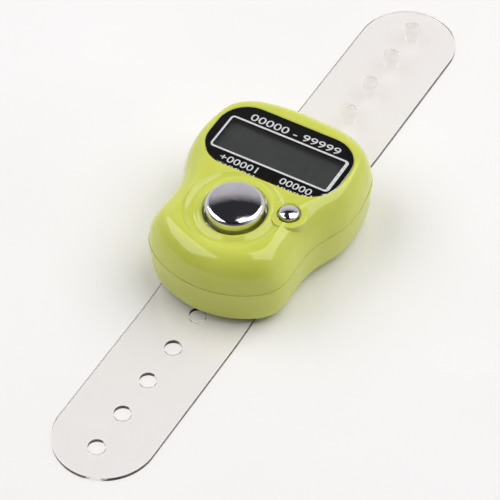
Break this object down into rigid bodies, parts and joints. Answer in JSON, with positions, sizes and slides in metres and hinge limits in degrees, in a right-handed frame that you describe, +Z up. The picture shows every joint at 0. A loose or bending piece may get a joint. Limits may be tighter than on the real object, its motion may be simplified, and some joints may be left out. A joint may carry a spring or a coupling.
{
  "type": "finger tally counter",
  "caption": "Digital finger tally counter: glossy lime case with display window, chrome count and reset buttons, and a clear strap with holes and studs.",
  "frame": {"origin": "on the surface that the counter lies on, under the middle of its whole length with the strap laid flat", "axes": "+Z up out of the display, +Y along the strap from the end with holes to the end with studs, +X to the reset button's side"},
  "size_m": [0.0322, 0.1226, 0.0166],
  "materials": {
    "case_green": "glossy, slightly translucent",
    "window_clear": "glossy clear acrylic",
    "print_black": "black ink on film",
    "display_film": "grey polarising film",
    "display_glass": "clear glass",
    "display_reflector": "satin grey-green reflector",
    "holder_white": "matt moulded",
    "zebra_rubber": "soft silicone with carbon lines",
    "board_green": "solder mask",
    "chip_resin": "cast resin",
    "chip_ceramic": "ceramic with tinned ends",
    "button_chrome": "bright chrome plating",
    "dome_rubber": "soft silicone",
    "pill_carbon": "conductive rubber",
    "cell_steel": "nickel-plated steel",
    "gasket_nylon": "nylon",
    "contact_metal": "plated spring steel",
    "screw_steel": "plated steel",
    "strap_clear": "clear soft polyurethane"
  },
  "bodies": {
    "case": {"top_case": "case_green", "back_case": "case_green", "display_window": "window_clear", "window_mask": "print_black", "lcd_front_polariser": "display_film", "lcd_front_glass": "display_glass", "lcd_rear_glass": "display_glass", "lcd_reflector": "display_reflector", "lcd_holder": "holder_white", "zebra_strip": "zebra_rubber", "circuit_board": "board_green", "chip_blob": "chip_resin", "board_chip_parts": "chip_ceramic", "count_dome": "dome_rubber", "reset_dome": "dome_rubber", "battery_can": "cell_steel", "battery_cap": "cell_steel", "battery_gasket": "gasket_nylon", "battery_positive_contact": "contact_metal", "battery_negative_contact": "contact_metal", "case_screws": "screw_steel"},
    "count_button": {"count_button": "button_chrome", "count_contact_pill": "pill_carbon"},
    "reset_button": {"reset_button": "button_chrome", "reset_contact_pill": "pill_carbon"},
    "battery_door": {"battery_door": "case_green"},
    "strap_middle": {"strap_middle": "strap_clear"},
    "strap_hole_1": {"strap_hole_link_1": "strap_clear"},
    "strap_hole_2": {"strap_hole_link_2": "strap_clear"},
    "strap_hole_3": {"strap_hole_link_3": "strap_clear"},
    "strap_stud_1": {"strap_stud_link_1": "strap_clear"},
    "strap_stud_2": {"strap_stud_link_2": "strap_clear"},
    "strap_stud_3": {"strap_stud_link_3": "strap_clear"}
  },
  "joints": [
    {"name": "count_press", "type": "slide", "parent": "case", "child": "count_button", "axis": [0, 0, -1], "range_m": [0, 0.0009], "stiffness_N_per_m": 800, "springref_m": -0.0005, "deforming": ["count_dome"]},
    {"name": "reset_press", "type": "slide", "parent": "case", "child": "reset_button", "axis": [0, 0, -1], "range_m": [0, 0.0007], "stiffness_N_per_m": 700, "springref_m": -0.0005, "deforming": ["reset_dome"]},
    {"name": "door_turn", "type": "hinge", "parent": "case", "child": "battery_door", "pos_m": [0, -0.0021, 0.0024], "axis": [0, 0, 1], "range_deg": [0, 90]},
    {"name": "strap_shift", "type": "slide", "parent": "case", "child": "strap_middle", "axis": [0, 1, 0], "range_m": [-0.0015, 0.0015]},
    {"name": "strap_hole_bend_1", "type": "hinge", "parent": "strap_middle", "child": "strap_hole_1", "pos_m": [0.0003, -0.0149, 0.00085], "axis": [1, 0, 0], "range_deg": [0, 50], "stiffness_Nm_per_rad": 0.002},
    {"name": "strap_hole_bend_2", "type": "hinge", "parent": "strap_hole_1", "child": "strap_hole_2", "pos_m": [0.0003, -0.0269, 0], "axis": [1, 0, 0], "range_deg": [0, 45], "stiffness_Nm_per_rad": 0.002},
    {"name": "strap_hole_bend_3", "type": "hinge", "parent": "strap_hole_2", "child": "strap_hole_3", "pos_m": [0.0003, -0.043, 0], "axis": [1, 0, 0], "range_deg": [0, 35], "stiffness_Nm_per_rad": 0.002},
    {"name": "strap_stud_bend_1", "type": "hinge", "parent": "strap_middle", "child": "strap_stud_1", "pos_m": [0.0003, 0.0101, 0.00085], "axis": [-1, 0, 0], "range_deg": [0, 50], "stiffness_Nm_per_rad": 0.002},
    {"name": "strap_stud_bend_2", "type": "hinge", "parent": "strap_stud_1", "child": "strap_stud_2", "pos_m": [0.0003, 0.0261, 0], "axis": [-1, 0, 0], "range_deg": [0, 45], "stiffness_Nm_per_rad": 0.002},
    {"name": "strap_stud_bend_3", "type": "hinge", "parent": "strap_stud_2", "child": "strap_stud_3", "pos_m": [0.0003, 0.0421, 0], "axis": [-1, 0, 0], "range_deg": [0, 35], "stiffness_Nm_per_rad": 0.002}
  ],
  "couplings": [
    {"joint": "strap_hole_bend_2", "follows": "strap_hole_bend_1", "ratio": 0.9},
    {"joint": "strap_hole_bend_3", "follows": "strap_hole_bend_1", "ratio": 0.7},
    {"joint": "strap_stud_bend_2", "follows": "strap_stud_bend_1", "ratio": 0.9},
    {"joint": "strap_stud_bend_3", "follows": "strap_stud_bend_1", "ratio": 0.7}
  ]
}
